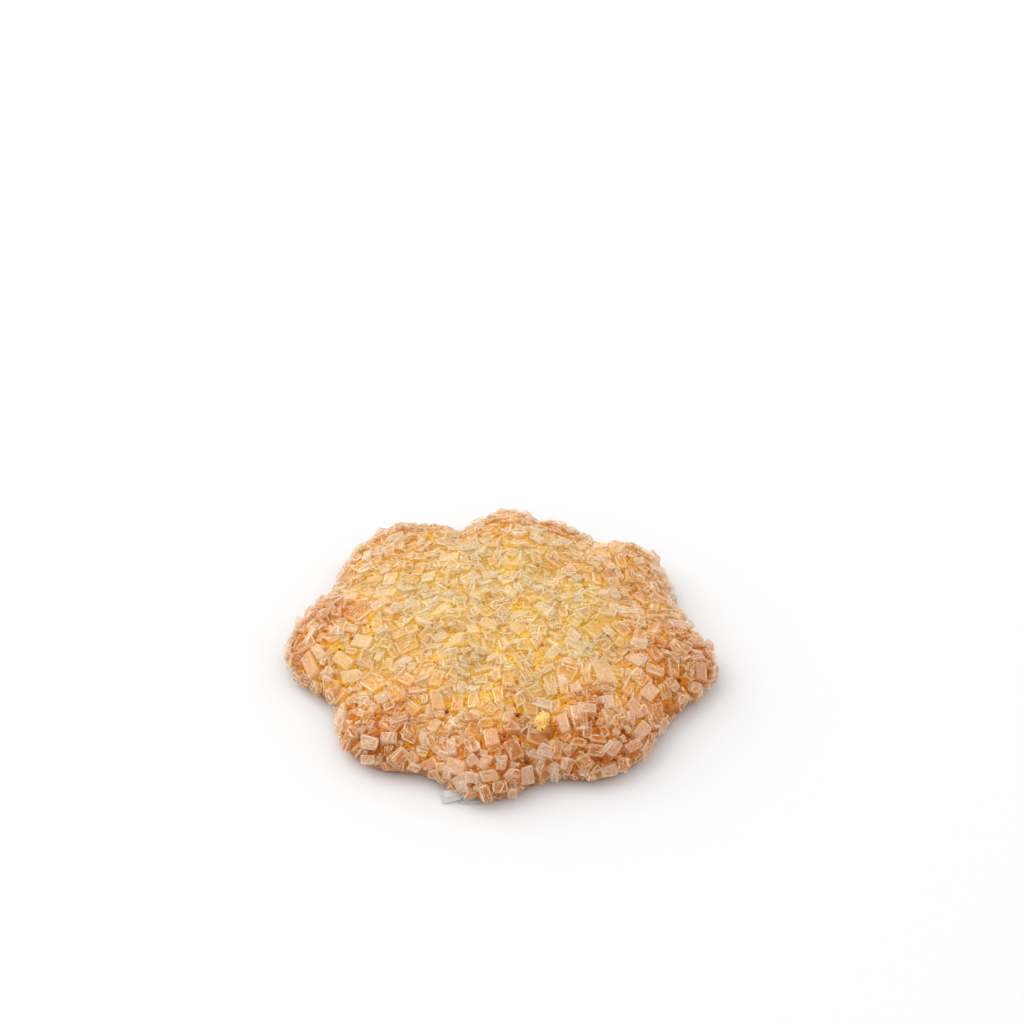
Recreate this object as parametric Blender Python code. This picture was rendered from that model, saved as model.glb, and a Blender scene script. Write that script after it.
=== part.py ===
"""A sugared butter cookie: one piece of piped dough with eight soft lobes, and coarse sugar baked into its crust.

Metres, +Z up. The cookie lies on its flat underside at z = 0, and the origin is under its middle. One pair of
lobes lies roughly along X, and the front lobe points to -Y.
"""

import math

import bmesh
import bpy
import numpy as np
from mathutils import Matrix, Vector

MM = 0.001

# The lobes, anticlockwise from +X. Each row has the bearing of a tip in degrees, the radius there, the radius
# of the notch that follows it, both in millimetres, and its sharpness: 1 is a cosine, and less is blunter. The
# row at 71 degrees is a shoulder of the lobe at the back.
LOBES = (
    (-8.0, 32.2, 28.4, 1.40),
    (46.5, 32.4, 29.3, 1.00),
    (71.0, 31.7, 31.4, 1.00),
    (87.0, 33.4, 29.9, 1.15),
    (122.5, 33.8, 29.1, 0.60),
    (181.0, 31.9, 27.1, 0.70),
    (229.5, 31.8, 29.5, 0.80),
    (266.0, 33.1, 29.1, 0.95),
    (302.5, 32.1, 29.3, 0.75),
)
BEARINGS = np.radians([row[0] for row in LOBES])
TIP_RADII, NOTCH_RADII, SHARPNESS = np.array(LOBES).T[1:]

# The section from the middle to the edge. The summit stands a little to one side of the middle.
CENTRE_HEIGHT = 10.0
RIM_HEIGHT = 6.2
DOME_POWER = 1.2
SUMMIT = (1.8, 0.3)
WAIST_HEIGHT = 2.1
FOOT_INSET = 1.3
EDGE_POWER = 9.0
EDGE_ROUNDNESS = 2.0

# The piped ridges run out along the lobes and fade towards the middle. Their height follows the outline: it is
# RIDGE_GAIN for each millimetre that the outline stands beyond MEAN_RADIUS.
RIDGE_GAIN = 0.30
MEAN_RADIUS = 30.8
RIDGE_STARTS, RIDGE_FULL = 0.05, 0.6

# Uneven swells that baking leaves in the crust.
SWELL_RISE = 0.24
SWELL_LENGTHS = (6.0, 15.0)
SWELL_COUNT = 14
SWELL_SEED = 4

# The dough's mesh.
SPOKES = 80
TOP_RINGS = 10
UNDER_RINGS = 2

# Large sugar crystals that stand out one by one. Each row has the bearing of its middle in degrees, its place along
# the section, the heading of its length as seen from above, in degrees, and its length and width in millimetres.
KNOWN_CRYSTALS = (
    (319, 0.43, 109, 5.0, 3.4),
    (335, 0.63, 176, 3.0, 1.8),
    (326, 0.69, 60, 2.9, 2.2),
    (313, 0.81, 60, 3.6, 2.0),
    (308, 0.86, 45, 3.0, 1.6),
    (346, 0.84, 92, 2.8, 2.0),
    (302, 0.81, 55, 2.6, 1.9),
    (291, 0.60, 105, 3.2, 1.7),
    (280, 0.64, 3, 3.0, 2.4),
    (273, 0.70, 119, 3.0, 2.5),
    (266, 0.60, 100, 3.2, 2.2),
    (277, 0.92, 97, 2.8, 2.2),
    (258, 0.83, 145, 3.2, 2.3),
    (260, 0.91, 171, 2.5, 1.9),
    (192, 0.83, 113, 4.0, 2.1),
    (196, 0.65, 137, 3.5, 2.0),
    (191, 0.51, 157, 3.0, 2.2),
    (174, 0.51, 47, 4.2, 3.2),
    (199, 0.39, 19, 3.5, 2.4),
    (214, 0.60, 119, 4.2, 2.6),
)
KNOWN_THICKNESS = 1.0
KNOWN_EMBEDDED = 0.4

# The other large sugar crystals, spread evenly over the top and the side.
CRYSTAL_SEED = 17
CRYSTAL_COUNT = 230
CRYSTAL_TRIES = 6000
CRYSTAL_LENGTHS = (2.3, 3.4)
CRYSTAL_WIDTH_SHARES = (0.6, 0.86)
CRYSTAL_THICKNESSES = (0.85, 1.2)
CRYSTAL_SKEW = 0.16
CRYSTAL_TILT = math.radians(15)
CRYSTAL_EMBEDDED = (0.25, 0.6)
CRYSTAL_SPACING = 1.06
LOWEST_CORNER = 0.3
SCATTER_CELLS = (360, 160)
SCATTER_END = 1.35

# One clear crystal that came loose and stuck to the foot of the front lobe.
STRAY_SIZE = (3.1, 1.8, 1.1)
STRAY_PLACE = (-7.0, -31.5, 0.65)
STRAY_TURN = math.radians(14)

CRUST_COLOUR = (0.62, 0.33, 0.12, 1.0)
CRUST_ROUGHNESS = 0.55


def smooth_step(low, high, value):
    """0 below low and 1 above high, with a smooth rise between."""
    share = np.clip((value - low) / (high - low), 0.0, 1.0)
    return share * share * (3.0 - 2.0 * share)


def lobe_place(theta):
    """The lobe that comes before each bearing, the one after, and the share of the way between them."""
    turn = np.mod(theta - BEARINGS[0], math.tau)
    before = np.searchsorted(BEARINGS - BEARINGS[0], turn, side="right") - 1
    after = (before + 1) % len(LOBES)
    gap = np.mod(BEARINGS[after] - BEARINGS[before], math.tau)
    return before, after, (turn - (BEARINGS[before] - BEARINGS[0])) / gap


def crest(theta):
    """1 at each lobe's tip and 0 in each notch."""
    return 0.5 + 0.5 * np.cos(math.tau * lobe_place(theta)[2])


def outline_radius(theta):
    """The radius of the dough's widest outline, in millimetres."""
    before, after, share = lobe_place(theta)
    blend = smooth_step(0.0, 1.0, share)
    tip = TIP_RADII[before] + (TIP_RADII[after] - TIP_RADII[before]) * blend
    sharpness = SHARPNESS[before] + (SHARPNESS[after] - SHARPNESS[before]) * blend
    notch = NOTCH_RADII[before]
    return notch + (tip - notch) * crest(theta) ** sharpness


def swell(x, y):
    """Low, uneven waves in the crust: a sum of plane waves in random directions, in millimetres."""
    draw = np.random.default_rng(SWELL_SEED)
    total = np.zeros_like(x)
    for _ in range(SWELL_COUNT):
        heading, phase = draw.uniform(0.0, math.tau, 2)
        pitch = math.tau / draw.uniform(*SWELL_LENGTHS)
        total += np.sin(pitch * (x * math.cos(heading) + y * math.sin(heading)) + phase)
    return total * SWELL_RISE / math.sqrt(SWELL_COUNT / 2.0)


def skin(theta, along):
    """Points of the dough's surface, in millimetres.

    along is 0 at the summit, 1 at the widest outline and 2 where the underside's flat foot begins.
    """
    over = np.clip(along, 0.0, 1.0) * math.pi / 2.0
    under = np.clip(along - 1.0, 0.0, 1.0) * math.pi / 2.0
    share = np.sin(over)
    radius = outline_radius(theta) * share - FOOT_INSET * (1.0 - np.cos(under))
    drift = 1.0 - share**2
    x = radius * np.cos(theta) + SUMMIT[0] * drift
    y = radius * np.sin(theta) + SUMMIT[1] * drift

    slope = np.clip(np.cos(share * math.pi / 2.0), 0.0, 1.0) ** DOME_POWER
    dome = RIM_HEIGHT + (CENTRE_HEIGHT - RIM_HEIGHT) * slope
    relief = RIDGE_GAIN * (outline_radius(theta) - MEAN_RADIUS) * smooth_step(RIDGE_STARTS, RIDGE_FULL, share)
    edge = np.clip(1.0 - share**EDGE_POWER, 0.0, 1.0) ** (1.0 / EDGE_ROUNDNESS)
    top = WAIST_HEIGHT + (dome + relief + swell(x, y) - WAIST_HEIGHT) * edge
    return np.stack([x, y, top - WAIST_HEIGHT * np.sin(under)], axis=-1)


def skin_slopes(theta, along, step=1e-4):
    """The surface's outward normals, unscaled: their lengths are the area for each unit of theta and along."""
    across = skin(theta + step, along) - skin(theta - step, along)
    down = skin(theta, along + step) - skin(theta, along - step)
    return np.cross(down, across) / (4.0 * step * step)


def linked_object(name, mesh, collection):
    """Puts a finished bmesh into a collection as an object."""
    data = bpy.data.meshes.new(name)
    mesh.to_mesh(data)
    mesh.free()
    obj = bpy.data.objects.new(name, data)
    collection.objects.link(obj)
    return obj


def dough_object():
    """The bare dough as one closed mesh: a fan at the summit, rings down to the foot, and a flat underside."""
    theta = np.arange(SPOKES) * math.tau / SPOKES
    levels = [*np.linspace(0.0, 1.0, TOP_RINGS + 1)[1:], *np.linspace(1.0, 2.0, UNDER_RINGS + 1)[1:]]
    mesh = bmesh.new()
    summit = mesh.verts.new(skin(np.zeros(1), np.zeros(1))[0] * MM)
    rings = [[mesh.verts.new(p * MM) for p in skin(theta, np.full(SPOKES, level))] for level in levels]
    foot = mesh.verts.new((0.0, 0.0, 0.0))
    for i in range(SPOKES):
        j = (i + 1) % SPOKES
        mesh.faces.new((summit, rings[0][i], rings[0][j]))
        for upper, lower in zip(rings, rings[1:]):
            mesh.faces.new((upper[i], lower[i], lower[j], upper[j]))
        mesh.faces.new((rings[-1][j], rings[-1][i], foot))
    return linked_object("cookie", mesh, bpy.context.scene.collection)


def crust_at(theta, along):
    """Points of the crust, and their outward normals at length 1."""
    slopes = skin_slopes(theta, along)
    return skin(theta, along), slopes / np.linalg.norm(slopes, axis=1, keepdims=True)


def scattered_spots(draw, count):
    """Random places on the top and the side, even by area: their points and outward normals."""
    spokes, steps = SCATTER_CELLS
    theta, along = np.meshgrid(
        np.arange(spokes) * math.tau / spokes, np.linspace(0.0, SCATTER_END, steps + 1)[1:], indexing="ij"
    )
    theta, along = theta.ravel(), along.ravel()
    area = np.linalg.norm(skin_slopes(theta, along), axis=1)
    picks = draw.choice(len(theta), count, p=area / area.sum())
    theta = theta[picks] + draw.uniform(-0.5, 0.5, count) * math.tau / spokes
    along = along[picks] + draw.uniform(-0.5, 0.5, count) * SCATTER_END / steps
    return crust_at(theta, along)


def upright_axes(normal, turn, tilt):
    """A crystal's length, width and thickness axes: turned about the crust's normal, and tilted a little."""
    upright = Vector(normal).to_track_quat("Z", "Y").to_matrix()
    return upright @ Matrix.Rotation(turn, 3, "Z") @ Matrix.Rotation(tilt, 3, "X")


def lying_axes(normal, heading):
    """A crystal's axes: its face lies in the crust, and its length has this heading as seen from above."""
    x, y = math.cos(heading), math.sin(heading)
    length = Vector((x, y, -(normal[0] * x + normal[1] * y) / normal[2])).normalized()
    upward = Vector(normal)
    return Matrix((length, upward.cross(length), upward)).transposed()


def known_crystals():
    """The sizes, centres and axes of the crystals in KNOWN_CRYSTALS."""
    bearings, alongs, headings, lengths, widths = np.array(KNOWN_CRYSTALS).T
    points, normals = crust_at(np.radians(bearings), alongs)
    rise = KNOWN_THICKNESS * (0.5 - KNOWN_EMBEDDED)
    batch = []
    for point, normal, heading, length, width in zip(points, normals, np.radians(headings), lengths, widths):
        size = np.array((length, width, KNOWN_THICKNESS))
        batch.append((size, point + normal * rise, lying_axes(normal, heading)))
    return batch


def two_discs(size, middle, axes):
    """The two discs side by side that a crystal takes up: their middles and their reach."""
    aside = np.array(axes.col[0]) * (size[0] - size[1]) / 2.0
    return (middle - aside, middle + aside), size[1] / 2.0 * CRYSTAL_SPACING


def crystals():
    """The sizes, centres and axes of all the large crystals: the known ones, and the others in free places.

    The others tilt and sink into the dough by different amounts.
    """
    draw = np.random.default_rng(CRYSTAL_SEED)
    points, normals = scattered_spots(draw, CRYSTAL_TRIES)
    lengths = draw.uniform(*CRYSTAL_LENGTHS, CRYSTAL_TRIES)
    widths = lengths * draw.uniform(*CRYSTAL_WIDTH_SHARES, CRYSTAL_TRIES)
    thicknesses = draw.uniform(*CRYSTAL_THICKNESSES, CRYSTAL_TRIES)
    turns = draw.uniform(0.0, math.tau, CRYSTAL_TRIES)
    tilts = draw.uniform(-CRYSTAL_TILT, CRYSTAL_TILT, CRYSTAL_TRIES)
    sinks = draw.uniform(*CRYSTAL_EMBEDDED, CRYSTAL_TRIES)
    kept = known_crystals()
    total = len(kept) + CRYSTAL_COUNT
    discs, reaches = np.empty((0, 3)), np.empty(0)
    for crystal in kept:
        spots, reach = two_discs(*crystal)
        discs, reaches = np.vstack((discs, *spots)), np.append(reaches, (reach, reach))
    for i in range(CRYSTAL_TRIES):
        axes = upright_axes(normals[i], turns[i], tilts[i])
        size = np.array((lengths[i], widths[i], thicknesses[i]))
        centre = points[i] + normals[i] * thicknesses[i] * (0.5 - sinks[i])
        if centre[2] - np.abs(np.array(axes)[2]) @ size / 2.0 < LOWEST_CORNER:
            continue
        spots, reach = two_discs(size, points[i], axes)
        if any(np.any(np.linalg.norm(discs - spot, axis=1) < reaches + reach) for spot in spots):
            continue
        kept.append((size, centre, axes))
        discs, reaches = np.vstack((discs, *spots)), np.append(reaches, (reach, reach))
        if len(kept) == total:
            break
    return kept


def crystal_object(size, centre, axes, collection):
    """A sugar crystal: a flat block whose upper face is pushed along its length, as sucrose grows."""
    mesh = bmesh.new()
    bmesh.ops.create_cube(mesh, size=1.0)
    for corner in mesh.verts:
        corner.co.x += CRYSTAL_SKEW * corner.co.z
    bmesh.ops.scale(mesh, vec=Vector(size) * MM, verts=mesh.verts)
    mesh.transform(Matrix.Translation(Vector(centre) * MM) @ axes.to_4x4())
    return linked_object("crystal", mesh, collection)


def sugar_collection():
    """The large crystals and the stray one, in a collection of their own."""
    collection = bpy.data.collections.new("sugar")
    bpy.context.scene.collection.children.link(collection)
    for size, centre, axes in crystals():
        crystal_object(size, centre, axes, collection)
    crystal_object(STRAY_SIZE, STRAY_PLACE, Matrix.Rotation(STRAY_TURN, 3, "Z"), collection)
    return collection


def fuse(base, collection):
    """Joins the collection's closed meshes to base by one Boolean union, and removes them."""
    union = base.modifiers.new("fuse", "BOOLEAN")
    union.operation = "UNION"
    union.operand_type = "COLLECTION"
    union.collection = collection
    bpy.context.view_layer.update()
    joined = bpy.data.meshes.new_from_object(base.evaluated_get(bpy.context.evaluated_depsgraph_get()))
    base.modifiers.remove(union)
    base.data = joined
    for obj in list(collection.objects):
        bpy.data.objects.remove(obj)
    bpy.data.collections.remove(collection)


def crust_material():
    """Baked golden crust."""
    material = bpy.data.materials.new("crust")
    material.use_nodes = True
    shader = material.node_tree.nodes["Principled BSDF"]
    shader.inputs["Base Color"].default_value = CRUST_COLOUR
    shader.inputs["Roughness"].default_value = CRUST_ROUGHNESS
    shader.inputs["Metallic"].default_value = 0.0
    return material


def main():
    for obj in list(bpy.data.objects):
        bpy.data.objects.remove(obj)
    cookie = dough_object()
    fuse(cookie, sugar_collection())
    cookie.data.materials.clear()
    cookie.data.materials.append(crust_material())


main()
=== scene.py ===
"""The looks of the sugared butter cookie: browned, grainy dough under a crust of coarse translucent sugar."""

import math
from typing import NamedTuple

import bmesh
import bpy
import numpy as np
from mathutils import Matrix, Vector, noise


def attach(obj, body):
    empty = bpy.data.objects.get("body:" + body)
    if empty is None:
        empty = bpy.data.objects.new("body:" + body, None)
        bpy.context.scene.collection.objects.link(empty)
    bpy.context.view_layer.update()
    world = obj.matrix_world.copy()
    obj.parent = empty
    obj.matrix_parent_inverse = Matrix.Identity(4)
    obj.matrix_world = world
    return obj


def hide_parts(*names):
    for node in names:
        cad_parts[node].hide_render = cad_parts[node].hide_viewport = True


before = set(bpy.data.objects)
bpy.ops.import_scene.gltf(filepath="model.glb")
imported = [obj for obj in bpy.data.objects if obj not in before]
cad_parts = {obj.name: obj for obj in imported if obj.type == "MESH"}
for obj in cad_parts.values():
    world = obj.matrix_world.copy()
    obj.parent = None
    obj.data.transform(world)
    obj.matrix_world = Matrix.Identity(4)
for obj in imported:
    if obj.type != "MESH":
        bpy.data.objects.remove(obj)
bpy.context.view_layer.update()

MM = 0.001

# The dough's form, in millimetres and degrees, as the solid has it. Each row of LOBES is one lobe, going
# anticlockwise from about +X: its bearing, its radius, the radius of the notch after it, and its sharpness.
LOBES = (
    (-8.0, 32.2, 28.4, 1.40),
    (46.5, 32.4, 29.3, 1.00),
    (71.0, 31.7, 31.4, 1.00),
    (87.0, 33.4, 29.9, 1.15),
    (122.5, 33.8, 29.1, 0.60),
    (181.0, 31.9, 27.1, 0.70),
    (229.5, 31.8, 29.5, 0.80),
    (266.0, 33.1, 29.1, 0.95),
    (302.5, 32.1, 29.3, 0.75),
)
BEARINGS = np.radians([row[0] for row in LOBES])
TIP_RADII, NOTCH_RADII, SHARPNESS = np.array(LOBES).T[1:]
CENTRE_HEIGHT = 10.0
RIM_HEIGHT = 6.2
DOME_POWER = 1.2
SUMMIT = (1.8, 0.3)
WAIST_HEIGHT = 2.1
FOOT_INSET = 1.3
EDGE_POWER = 9.0
EDGE_ROUNDNESS = 2.0
RIDGE_GAIN = 0.30
MEAN_RADIUS = 30.8
RIDGE_STARTS, RIDGE_FULL = 0.05, 0.6
SWELL_RISE = 0.24
SWELL_LENGTHS = (6.0, 15.0)
SWELL_COUNT = 14
SWELL_SEED = 4

# The cells that scattered pieces are drawn from: their numbers round the dough and along the section, and
# where the section's last cell ends.
SCATTER_CELLS = (360, 160)
SCATTER_END = 1.35

# The fine mesh of the dough, and the relief of its grainy crust: the rise and length of each size of grain.
SPOKES = 560
TOP_RINGS, SIDE_RINGS, UNDER_RINGS = 120, 10, 8
GRAIN_RELIEF = ((0.16, 2.6), (0.09, 1.1))


class Kind(NamedTuple):
    """One size of sugar crystal, in millimetres and degrees.

    A width is a share of the length, and embedded is the share of the thickness that is sunk in the crust.
    Spacing scales the room that each crystal takes up, and lowest is its least height above the floor.
    Crystals keep off spots where the upward part of the crust's normal is more than flattest.
    """

    name: str
    seed: int
    count: int
    tries: int
    lengths: tuple
    width_shares: tuple
    thicknesses: tuple
    tilt: float
    embedded: tuple
    spacing: float
    rounding: float
    lowest: float
    flattest: float = 1.0


# Crystals that stand out one by one. Each row has the bearing of its middle in degrees, its place along the
# section, the heading of its length from above in degrees, its length and width, and how milky it is.
KNOWN_CRYSTALS = (
    (319, 0.43, 109, 5.0, 3.4, 0.50),
    (335, 0.63, 176, 3.0, 1.8, 0.55),
    (326, 0.69, 60, 2.9, 2.2, 0.85),
    (313, 0.81, 60, 3.6, 2.0, 0.80),
    (308, 0.86, 45, 3.0, 1.6, 0.55),
    (346, 0.84, 92, 2.8, 2.0, 0.60),
    (302, 0.81, 55, 2.6, 1.9, 0.60),
    (291, 0.60, 105, 3.2, 1.7, 0.75),
    (280, 0.64, 3, 3.0, 2.4, 0.25),
    (273, 0.70, 119, 3.0, 2.5, 0.15),
    (266, 0.60, 100, 3.2, 2.2, 0.50),
    (277, 0.92, 97, 2.8, 2.2, 0.60),
    (258, 0.83, 145, 3.2, 2.3, 0.75),
    (260, 0.91, 171, 2.5, 1.9, 0.85),
    (192, 0.83, 113, 4.0, 2.1, 0.60),
    (196, 0.65, 137, 3.5, 2.0, 0.45),
    (191, 0.51, 157, 3.0, 2.2, 0.75),
    (174, 0.51, 47, 4.2, 3.2, 0.25),
    (199, 0.39, 19, 3.5, 2.4, 0.10),
    (214, 0.60, 119, 4.2, 2.6, 0.15),
)
KNOWN_THICKNESS = 1.0
KNOWN_EMBEDDED = 0.4
KNOWN_SEED = 16

# Small bright crystals in the same terms. The first three are a pale cluster low on the front lobe. The
# other seven stand for glints, and the whiter faces of all ten are partly pale sugar, partly painted
# highlights.
ACCENTS = (
    (263, 0.86, 160, 2.1, 1.6, 0.90),
    (256, 0.91, 60, 2.0, 1.5, 0.80),
    (261, 0.95, 110, 1.8, 1.4, 0.90),
    (255, 0.73, 93, 2.9, 1.6, 0.75),
    (300, 0.79, 49, 2.3, 0.8, 1.00),
    (336, 0.53, 153, 2.0, 1.8, 0.90),
    (182, 0.73, 60, 2.8, 1.2, 0.95),
    (190, 0.72, 119, 2.4, 1.6, 0.80),
    (184, 0.59, 139, 1.9, 1.7, 1.00),
    (284, 0.77, 161, 2.5, 2.0, 0.85),
)
ACCENT_THICKNESS = 0.9
ACCENT_EMBEDDED = 0.1
ACCENT_SEED = 15

# Dark, burnt specks in the gaps: the bearing of each in degrees, its place along the section, and its width.
SPECKS = (
    (274, 0.50, 0.55),
    (277, 0.80, 0.60),
    (307, 0.73, 0.60),
    (191, 0.62, 0.40),
    (298, 0.87, 0.50),
    (304, 0.76, 0.45),
    (339, 0.76, 0.50),
    (301, 0.60, 0.45),
    (247, 0.54, 0.45),
)

# Brown flecks, in the same terms. The first lies low on the right, and the second, below the crumb, is a
# painted shadow of the crumb.
FLECKS_AND_CRUMB_SHADOW = (
    (329, 0.90, 1.6),
    (286, 0.62, 2.0),
)

# The relief of both, as the rise and length of each layer of noise, and the shares of their width that are
# sunk in the crust and that crystals keep clear of. LUMP_SPLITS is how finely their balls are meshed.
SPECK_RELIEF = ((0.12, 0.5),)
FLECK_RELIEF = ((0.9, 0.9), (0.3, 0.4))
SPECK_SUNK = 0.0
FLECK_SUNK = 0.6
SPECK_ROOM = 0.65
LUMP_SPLITS = 3

# The yellow crumb on the front right: grains heaped in an oval, with its place in the crust, its heading in
# degrees, its length, width and height, the seed, count and widths of its grains, their relief, how far out
# from its middle they lie, as shares, and how finely they are meshed.
CRUMB_PLACE = (283.5, 0.56)
CRUMB_HEADING = 66
CRUMB_SIZE = (4.0, 2.6, 1.3)
CRUMB_GRAINS = (25, 420, (0.22, 0.55))
CRUMB_RELIEF = ((0.12, 0.3),)
CRUMB_DEPTHS = (0.3, 0.9)
CRUMB_SPLITS = 2

# Scattered crystals. The largest find their seats first and the smaller kinds fill what is left. Loose ones
# and the blocks along the edge lie over them. They keep clear of the listed crystals, the specks, the brown
# flecks, one of them a painted shadow, and each other.
LARGE = Kind(
    "large_crystals", seed=17, count=230, tries=6000, lengths=(2.3, 3.4), width_shares=(0.56, 0.8),
    thicknesses=(1.0, 1.4), tilt=18.0, embedded=(0.3, 0.6), spacing=1.06, rounding=0.2, lowest=0.3,
)
FILLERS = (
    Kind(
        "medium_crystals", seed=18, count=600, tries=8000, lengths=(1.5, 2.5), width_shares=(0.58, 0.86),
        thicknesses=(0.8, 1.2), tilt=25.0, embedded=(0.25, 0.6), spacing=0.82, rounding=0.17, lowest=0.7,
    ),
    Kind(
        "small_crystals", seed=19, count=230, tries=8000, lengths=(1.0, 1.6), width_shares=(0.6, 0.95),
        thicknesses=(0.55, 0.9), tilt=32.0, embedded=(0.2, 0.5), spacing=0.82, rounding=0.12, lowest=0.7,
    ),
    Kind(
        "fine_crystals", seed=20, count=260, tries=6000, lengths=(0.6, 1.0), width_shares=(0.6, 1.0),
        thicknesses=(0.4, 0.7), tilt=50.0, embedded=(0.2, 0.5), spacing=1.0, rounding=0.08, lowest=1.2,
    ),
)
LOOSE = Kind(
    "loose_crystals", seed=21, count=260, tries=3000, lengths=(1.4, 2.7), width_shares=(0.5, 0.8),
    thicknesses=(0.8, 1.25), tilt=34.0, embedded=(0.1, 0.4), spacing=1.1, rounding=0.18, lowest=0.4,
)
EDGE = Kind(
    "edge_crystals", seed=26, count=120, tries=6000, lengths=(1.7, 2.8), width_shares=(0.6, 0.85),
    thicknesses=(1.0, 1.4), tilt=30.0, embedded=(0.05, 0.3), spacing=1.2, rounding=0.2, lowest=0.9,
    flattest=0.6,
)
SEAT_ROOM = 4000

# Grains of sugar and dough in the gaps: the seed, the number tried and the widths, the share of a grain that
# is sunk, how uneven grains are, how much their browning varies, and their least height above the floor.
SUGAR_GRAINS = (22, 3000, (0.18, 0.42))
DOUGH_GRAINS = (23, 14000, (0.2, 0.6))
SUGAR_GRAIN_SUNK = 0.3
DOUGH_GRAIN_SUNK = 0.5
GRAIN_SHAPES = (0.75, 1.25)
GRAIN_TINT_SPREAD = 0.2
LOWEST_GRAIN = 0.8

# Growth lines on the crystals, painted bright as glints: the seed, the count, the lengths and widths, the
# height, and the shares of a crystal that the longest line covers and that the lines spread over to each side
# of the middle.
GLINTING_GROWTH_LINES = (24, 3400, (0.2, 0.9), (0.05, 0.11))
LINE_HEIGHT = 0.05
LONGEST_LINE = 0.7
LINE_SPREAD = 0.42

# The clear crystals at the foot of the front lobe, loose and lying flat: sizes, places and turns in degrees.
STRAYS = (
    ((3.1, 1.8, 1.1), (-7.0, -31.5, 0.65), 14),
    ((2.8, 1.0, 0.5), (-4.4, -32.3, 0.30), 0),
)
STRAY_ROUNDING = 0.07
STRAY_SEED = 3

# How worn the crystals are: the share of worn corners, and how far corners wander, as a share of the size.
# Along the thickness they wander by THICKNESS_WANDER of that.
WEAR = (0.15, 0.042)
KNOWN_WEAR = (0.0, 0.022)
THICKNESS_WANDER = 0.5

# How a corner's rounding varies, its shares along the length, width and thickness, and the most of half a
# crystal that it may take. A worn corner is cut by WORN_CUT of half the width, and SKEW leans the block.
ROUNDING_SPREAD = (0.6, 1.5)
ROUNDING_SHARES = (1.5, 1.5, 1.0)
MOST_ROUNDED = 0.95
WORN_CUT = (0.4, 0.8)
SKEW = 0.16

# The places of a crystal's materials in its list, and how far the noise inside crystals is shifted about.
FACE_SLOT, EDGE_SLOT, MILKY_SLOT, GLINT_SLOT = range(4)
NOISE_REACH = 100.0

# Browning, from 0 to 1, with some painted shade and light: how much each cause adds, and the band in which it
# sets in. The bands are shares of the outline's radius, and LOW_BAND is in millimetres. The front right is
# browner and the back is paler, partly real browning and partly painted shade on the side turned from the
# light and painted light on the side that faces it. Patches of noise vary it all.
LEAST_BROWN = 0.09
RIM_BROWN, RIM_BROWN_BAND = 0.72, (0.35, 1.10)
RIDGE_BROWN, RIDGE_BROWN_BAND = 0.18, (0.3, 0.9)
RIDGE_RISE = 3.0
BROWN_AND_SHADED_BEARING = math.radians(-45)
TURNED_BROWN_AND_SHADE = 0.10
BACK_PALER_AND_LIT = 0.23
TURNED_BAND = (0.2, 0.9)
LOW_BROWN, LOW_BAND = 0.12, (4.0, 1.0)
WIDE_PATCH, FINE_PATCH = 9.0, 3.0
WIDE_GAIN, FINE_GAIN = 0.17, 0.22
RIM_WAVER = 0.12

# Colours, as stops from the palest crust to the brownest.
DOUGH_RAMP = (
    (0.00, (0.79, 0.50, 0.08)),
    (0.35, (0.80, 0.41, 0.034)),
    (0.65, (0.67, 0.23, 0.013)),
    (1.00, (0.42, 0.105, 0.012)),
)
FACE_RAMP = (
    (0.00, (0.85, 0.61, 0.28)),
    (0.45, (0.87, 0.51, 0.165)),
    (1.00, (0.82, 0.36, 0.08)),
)
PALE_RAMP = (
    (0.00, (0.97, 0.89, 0.70)),
    (0.45, (1.00, 0.89, 0.70)),
    (1.00, (0.99, 0.81, 0.62)),
)
# Whiter faces for the bright crystals: partly pale sugar, partly painted highlights.
PALE_AND_GLINT_RAMP = (
    (0.00, (1.00, 0.96, 0.82)),
    (0.45, (1.00, 0.95, 0.83)),
    (1.00, (1.00, 0.91, 0.80)),
)
# The rounded edges' paler colours: painted highlights along the crystals' edges. The fine sugar grains take
# them too.
EDGE_HIGHLIGHT_RAMP = (
    (0.00, (0.95, 0.78, 0.45)),
    (0.45, (0.92, 0.65, 0.33)),
    (1.00, (0.88, 0.48, 0.18)),
)

# Colours as stops over noise, and what makes the dark grains in the dough. FOOT_BAND is the height in
# millimetres over which the crust turns into the plain foot.
FOOT_COLOURS = ((0.30, (0.40, 0.17, 0.075)), (0.70, (0.56, 0.29, 0.15)))
FOOT_BAND = (3.0, 1.2)
CRUST_NOISE = (1400.0, 3.0, 0.6)
GRAIN_SPREAD = 1.0
BURNT_NOISE = (2200.0, 1.0)
SPECK_BAND = (0.56, 0.70)
SPECK_SHARE = 0.75
SPECK_COLOURS = ((0.35, (0.10, 0.022, 0.010)), (0.65, (0.20, 0.050, 0.018)))
# The brown flecks' colours; the fleck below the crumb is a painted shadow.
FLECK_AND_SHADOW_COLOURS = ((0.35, (0.36, 0.12, 0.022)), (0.65, (0.56, 0.22, 0.04)))
CRUMB_COLOURS = ((0.30, (0.78, 0.44, 0.08)), (0.65, (0.92, 0.70, 0.27)))
CLEAR_COLOURS = ((0.30, (0.88, 0.88, 0.86)), (0.65, (0.99, 0.99, 0.98)))
# The stray crystals' grey rounded edges: painted shade for the dark rims that clear sugar shows.
CLEAR_EDGE_SHADE_COLOURS = ((0.30, (0.40, 0.39, 0.37)), (0.65, (0.70, 0.69, 0.67)))

# The dough's surface: its roughness, shine, the light that passes under it, and its bump in metres.
DOUGH_ROUGHNESS = 0.7
DOUGH_SHINE = 0.15
SUBSURFACE, SUBSURFACE_RADIUS, SUBSURFACE_SCALE = 0.15, (1.0, 0.5, 0.2), 0.0008
BUMP_NOISE = (2600.0, 3.0, 0.7)
DOUGH_BUMP = 0.00025

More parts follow.
